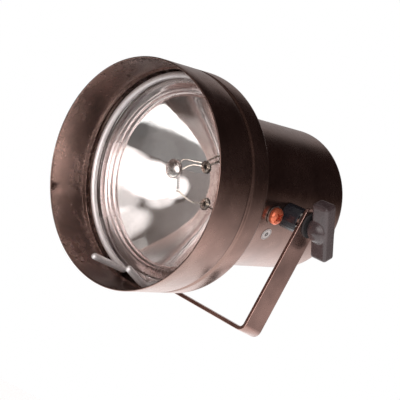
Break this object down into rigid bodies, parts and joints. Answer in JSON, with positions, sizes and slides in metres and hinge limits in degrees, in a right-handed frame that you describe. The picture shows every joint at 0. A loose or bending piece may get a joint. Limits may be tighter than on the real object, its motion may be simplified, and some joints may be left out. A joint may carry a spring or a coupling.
{
  "type": "par can",
  "caption": "Small black par can on a strap yoke: wide front barrel, sealed beam lamp behind a sprung wire ring, narrower rear housing and wing knobs at the tilt pivots.",
  "frame": {"origin": "centre of the yoke's bolt hole, on the crossbar's outer face", "axes": "+Z from the crossbar towards the tilt pivots, +X along the tilt axis towards the earth screw, the lamp faces -Y and 16.24 degrees below it"},
  "size_m": [0.1454, 0.172, 0.1357],
  "materials": {
    "earth_lead": "green sleeve",
    "earth_nut": "plain brass",
    "earth_screw": "copper-coloured plating",
    "earth_tag": "tinned",
    "earth_washer": "bright zinc",
    "filament": "grey tungsten wire",
    "filament_post_a": "bright nickel wire",
    "filament_post_b": "bright nickel wire",
    "filament_shield": "bright nickel",
    "front_barrel": "satin black paint",
    "gland_body": "black nylon",
    "gland_cap": "black nylon",
    "gland_locknut": "black nylon",
    "knob_stud_left": "bright zinc",
    "knob_stud_right": "bright zinc",
    "knob_washer_left": "black nylon",
    "knob_washer_right": "black nylon",
    "lamp_ferrule_a": "bright nickel",
    "lamp_ferrule_b": "bright nickel",
    "lamp_lead_a": "white heat-proof sleeve",
    "lamp_lead_b": "white heat-proof sleeve",
    "lamp_lens": "clear pressed glass",
    "lamp_reflector": "aluminised inside of pressed glass",
    "lamp_tag_a": "tinned",
    "lamp_tag_b": "tinned",
    "lamp_terminal_screw_1": "plain brass",
    "lamp_terminal_screw_2": "plain brass",
    "lock_washer_left": "bright zinc",
    "lock_washer_right": "bright zinc",
    "pivot_nut_left": "bright zinc",
    "pivot_nut_right": "bright zinc",
    "pivot_spacer_left": "black moulding",
    "pivot_spacer_right": "black moulding",
    "primary_lead_a": "red sleeve",
    "primary_lead_b": "blue sleeve",
    "rear_housing": "satin black paint",
    "rear_nut_1": "bright zinc",
    "rear_nut_2": "bright zinc",
    "rear_screw_1": "bright zinc",
    "rear_screw_2": "bright zinc",
    "rear_screw_3": "bright zinc",
    "retaining_ring": "bright drawn wire",
    "shield_post": "bright nickel wire",
    "terminal_block": "natural nylon",
    "terminal_screw_1": "plain brass",
    "terminal_screw_2": "plain brass",
    "transformer_bobbin": "moulded nylon",
    "transformer_bracket": "bright zinc",
    "transformer_core": "bare laminations",
    "transformer_winding": "yellow winding tape",
    "wing_knob_left": "dark grey moulding",
    "wing_knob_right": "dark grey moulding",
    "yoke_bracket": "satin black paint"
  },
  "bodies": {
    "yoke": {"yoke_bracket": "yoke_bracket"},
    "can": {"earth_lead": "earth_lead", "earth_nut": "earth_nut", "earth_screw": "earth_screw", "earth_tag": "earth_tag", "earth_washer": "earth_washer", "filament": "filament", "filament_post_a": "filament_post_a", "filament_post_b": "filament_post_b", "filament_shield": "filament_shield", "front_barrel": "front_barrel", "gland_body": "gland_body", "gland_cap": "gland_cap", "gland_locknut": "gland_locknut", "lamp_ferrule_a": "lamp_ferrule_a", "lamp_ferrule_b": "lamp_ferrule_b", "lamp_lead_a": "lamp_lead_a", "lamp_lead_b": "lamp_lead_b", "lamp_lens": "lamp_lens", "lamp_reflector": "lamp_reflector", "lamp_tag_a": "lamp_tag_a", "lamp_tag_b": "lamp_tag_b", "lamp_terminal_screw_1": "lamp_terminal_screw_1", "lamp_terminal_screw_2": "lamp_terminal_screw_2", "lock_washer_left": "lock_washer_left", "lock_washer_right": "lock_washer_right", "pivot_nut_left": "pivot_nut_left", "pivot_nut_right": "pivot_nut_right", "pivot_spacer_left": "pivot_spacer_left", "pivot_spacer_right": "pivot_spacer_right", "primary_lead_a": "primary_lead_a", "primary_lead_b": "primary_lead_b", "rear_housing": "rear_housing", "rear_nut_1": "rear_nut_1", "rear_nut_2": "rear_nut_2", "rear_screw_1": "rear_screw_1", "rear_screw_2": "rear_screw_2", "rear_screw_3": "rear_screw_3", "shield_post": "shield_post", "terminal_block": "terminal_block", "terminal_screw_1": "terminal_screw_1", "terminal_screw_2": "terminal_screw_2", "transformer_bobbin": "transformer_bobbin", "transformer_bracket": "transformer_bracket", "transformer_core": "transformer_core", "transformer_winding": "transformer_winding"},
    "washer_right": {"knob_washer_right": "knob_washer_right"},
    "knob_right": {"wing_knob_right": "wing_knob_right", "knob_stud_right": "knob_stud_right"},
    "washer_left": {"knob_washer_left": "knob_washer_left"},
    "knob_left": {"wing_knob_left": "wing_knob_left", "knob_stud_left": "knob_stud_left"},
    "ring": {"retaining_ring": "retaining_ring"}
  },
  "joints": [
    {"name": "can_tilt", "type": "hinge", "parent": "yoke", "child": "can", "pos_m": [0, 0, 0.0671], "axis": [1, 0, 0], "range_deg": [-55, 14]},
    {"name": "washer_right_slide", "type": "slide", "parent": "can", "child": "washer_right", "axis": [1, 0, 0], "range_m": [0, 0.0061]},
    {"name": "knob_right_turn", "type": "hinge", "parent": "washer_right", "child": "knob_right", "pos_m": [0.065, 0, 0.0671], "axis": [1, 0, 0], "range_deg": [0, 2160]},
    {"name": "washer_left_slide", "type": "slide", "parent": "can", "child": "washer_left", "axis": [-1, 0, 0], "range_m": [0, 0.0061]},
    {"name": "knob_left_turn", "type": "hinge", "parent": "washer_left", "child": "knob_left", "pos_m": [-0.065, 0, 0.0671], "axis": [-1, 0, 0], "range_deg": [0, 2160]},
    {"name": "ring_slide", "type": "slide", "parent": "can", "child": "ring", "axis": [0, -0.9601, -0.2797], "range_m": [0, 0.045]}
  ],
  "couplings": [
    {"joint": "washer_right_slide", "follows": "knob_right_turn", "m_per_rad": 0.00015915},
    {"joint": "washer_left_slide", "follows": "knob_left_turn", "m_per_rad": 0.00015915}
  ]
}
